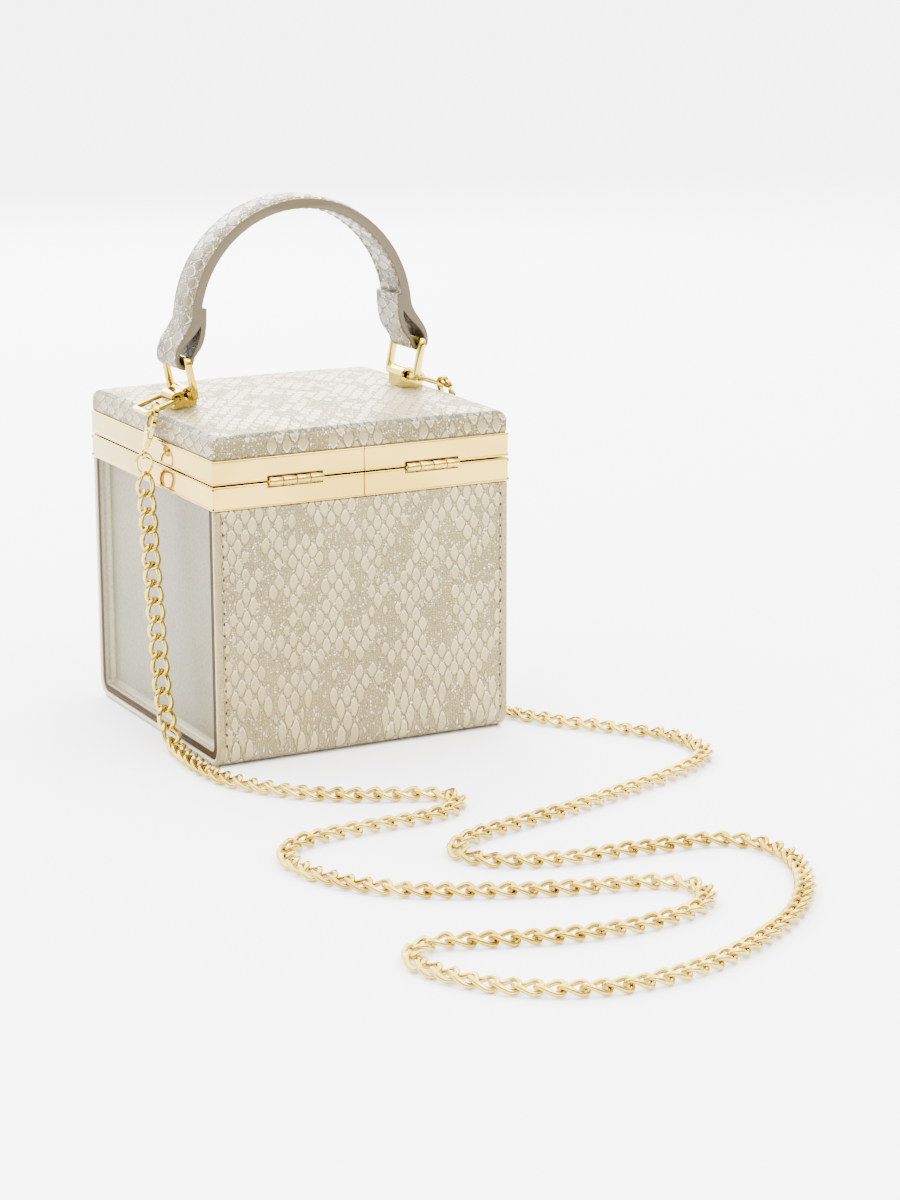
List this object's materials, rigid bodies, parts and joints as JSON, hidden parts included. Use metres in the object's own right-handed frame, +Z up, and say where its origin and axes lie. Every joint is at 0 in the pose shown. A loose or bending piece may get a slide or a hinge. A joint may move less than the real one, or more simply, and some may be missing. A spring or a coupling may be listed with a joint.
{
  "type": "box clutch bag",
  "caption": "Cube box bag of embossed leather in a polished metal frame, with a hinged padded lid, a top handle, snap clasps and a chain strap.",
  "frame": {"origin": "centre of the base on the surface the bag stands on", "axes": "+Z up, +X along the hinge line, -Y out of the hinge side, +Y out of the clasp side"},
  "size_m": [0.2046, 0.3983, 0.2077],
  "materials": {
    "embossed_leather": "metallic snake-embossed leather, satin",
    "smooth_leather": "metallic fine-grained leather, satin",
    "frame_gold": "polished pale gold plating",
    "fitting_gold": "polished gold plating",
    "chain_gold": "polished pale gold plating"
  },
  "bodies": {
    "box": {"wrap_panel": "embossed_leather", "right_gusset": "smooth_leather", "left_gusset": "smooth_leather", "lower_band": "frame_gold", "left_hinge_box_leaf": "frame_gold", "right_hinge_box_leaf": "frame_gold", "left_hinge_pin": "frame_gold", "right_hinge_pin": "frame_gold", "chain_strap": "chain_gold"},
    "lid": {"lid_cover": "embossed_leather", "upper_band": "frame_gold", "left_hinge_lid_leaf": "frame_gold", "right_hinge_lid_leaf": "frame_gold", "left_bracket": "fitting_gold", "right_bracket": "fitting_gold", "left_handle_ring": "fitting_gold", "right_handle_ring": "fitting_gold", "left_chain_ring": "fitting_gold", "right_chain_ring": "fitting_gold", "left_clasp_body": "fitting_gold", "right_clasp_body": "fitting_gold", "left_oval_ring": "chain_gold", "right_oval_ring": "chain_gold", "handle": "embossed_leather", "front_catch": "frame_gold"},
    "left_lever": {"left_clasp_lever": "fitting_gold"},
    "right_lever": {"right_clasp_lever": "fitting_gold"}
  },
  "joints": [
    {"name": "lid_hinge", "type": "hinge", "parent": "box", "child": "lid", "pos_m": [0, -0.0629, 0.10945], "axis": [1, 0, 0], "range_deg": [0, 100]},
    {"name": "left_lever_pivot", "type": "hinge", "parent": "lid", "child": "left_lever", "pos_m": [-0.06558, -0.0103, 0.12122], "axis": [-0.9467, 0.1736, 0.2714], "range_deg": [0, 11], "stiffness_Nm_per_rad": 0.002},
    {"name": "right_lever_pivot", "type": "hinge", "parent": "lid", "child": "right_lever", "pos_m": [0.06558, -0.0103, 0.12122], "axis": [-0.9467, -0.1736, -0.2714], "range_deg": [0, 11], "stiffness_Nm_per_rad": 0.002}
  ]
}
